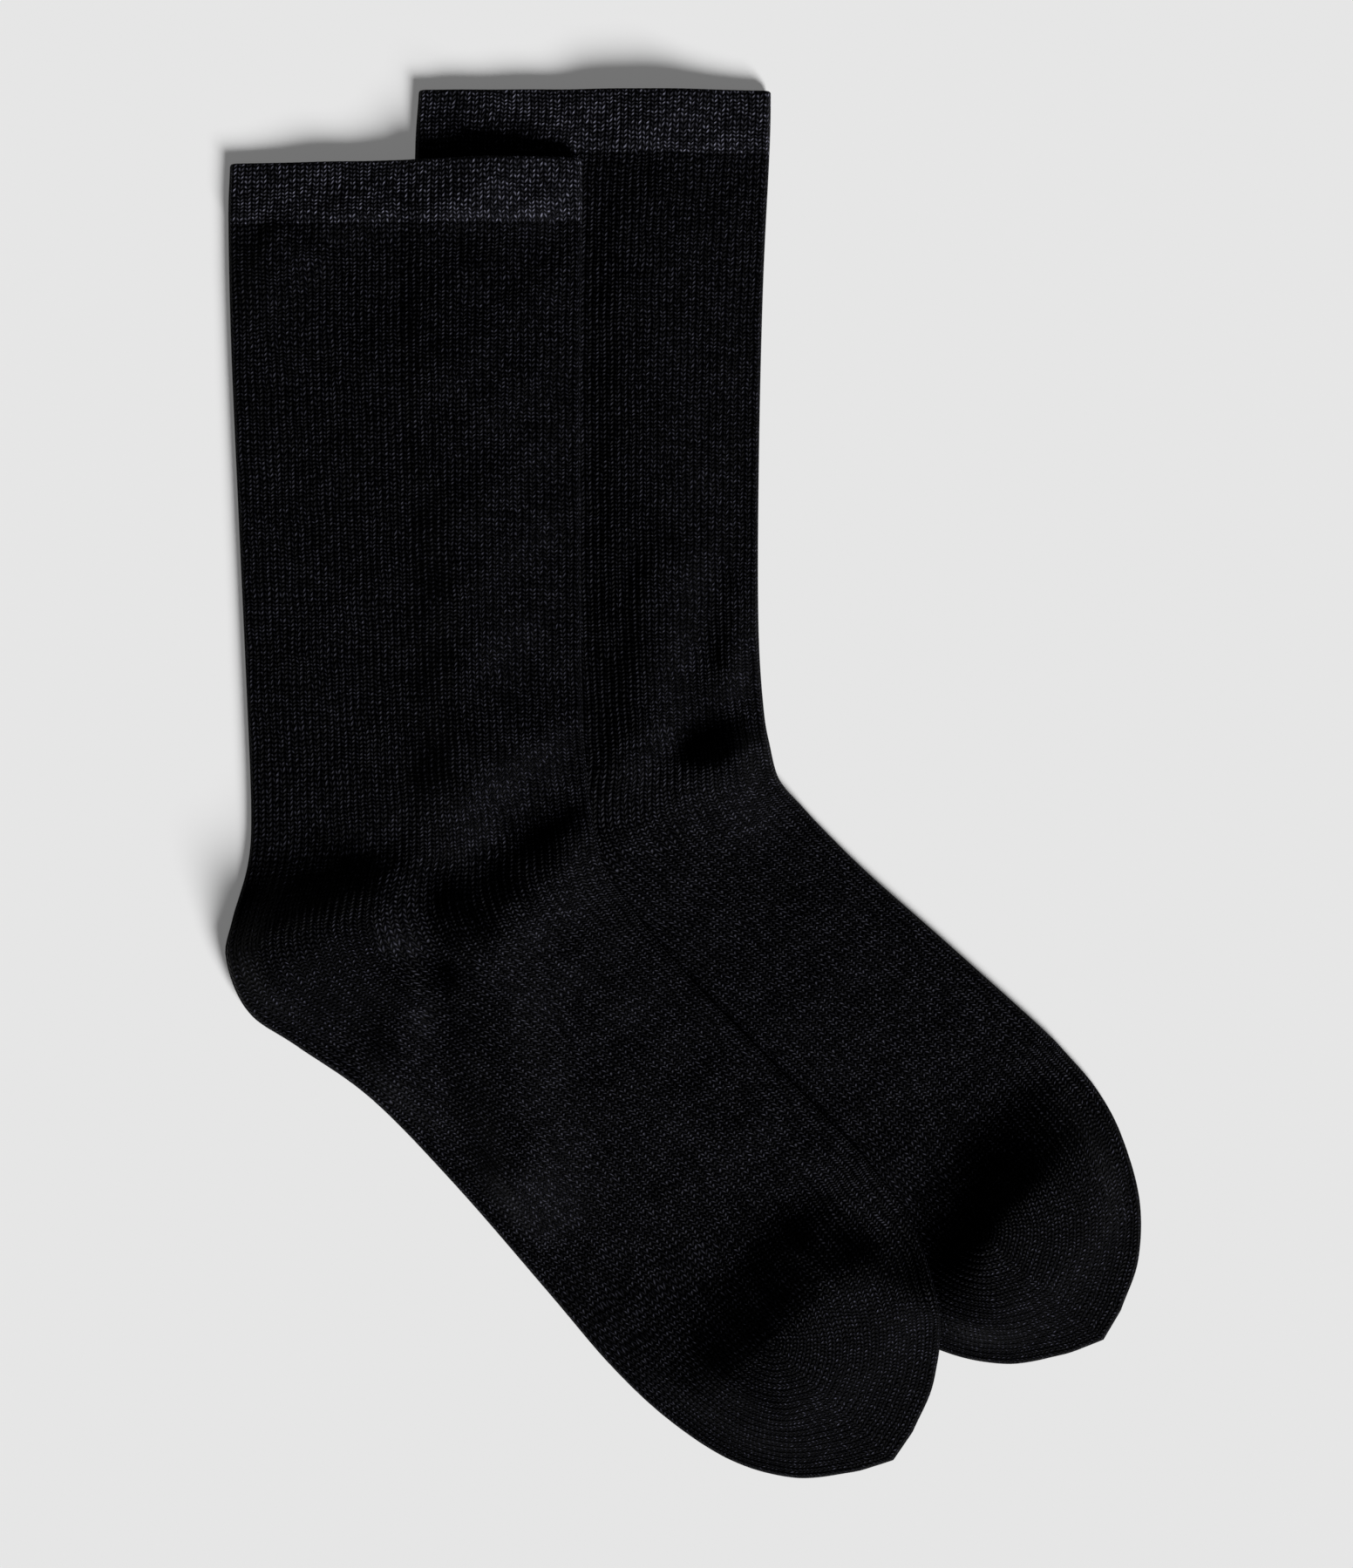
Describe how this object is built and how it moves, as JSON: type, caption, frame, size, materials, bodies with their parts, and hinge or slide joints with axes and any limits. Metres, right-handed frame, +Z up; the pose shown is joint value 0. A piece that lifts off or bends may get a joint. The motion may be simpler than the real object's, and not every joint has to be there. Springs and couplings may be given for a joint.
{
  "type": "pair of socks",
  "caption": "Pair of plain dark crew socks laid flat in profile, one half over the other, with turned cuff welts, heel pockets and closed rounded toes.",
  "frame": {"origin": "under the middle of the pair, on the surface that it lies on", "axes": "+X towards the toes, across the legs; +Y up the legs towards the cuffs; +Z up from the surface"},
  "size_m": [0.262, 0.3974, 0.01],
  "materials": {
    "welt_knit": "double turned band of fine plain knit in black combed cotton, a shade greyer than the leg",
    "leg_knit": "fine plain knit in black combed cotton, matt, with the loops standing in close upright columns",
    "pocket_knit": "fine plain knit in black combed cotton, its columns bending round the heel and the toe"
  },
  "bodies": {
    "root": {"top_sock_cuff": "welt_knit", "top_sock_leg": "leg_knit", "top_sock_heel": "pocket_knit", "top_sock_foot": "leg_knit", "top_sock_toe": "pocket_knit", "under_sock_cuff": "welt_knit", "under_sock_leg": "leg_knit", "under_sock_heel": "pocket_knit", "under_sock_foot": "leg_knit", "under_sock_toe": "pocket_knit"}
  },
  "joints": []
}
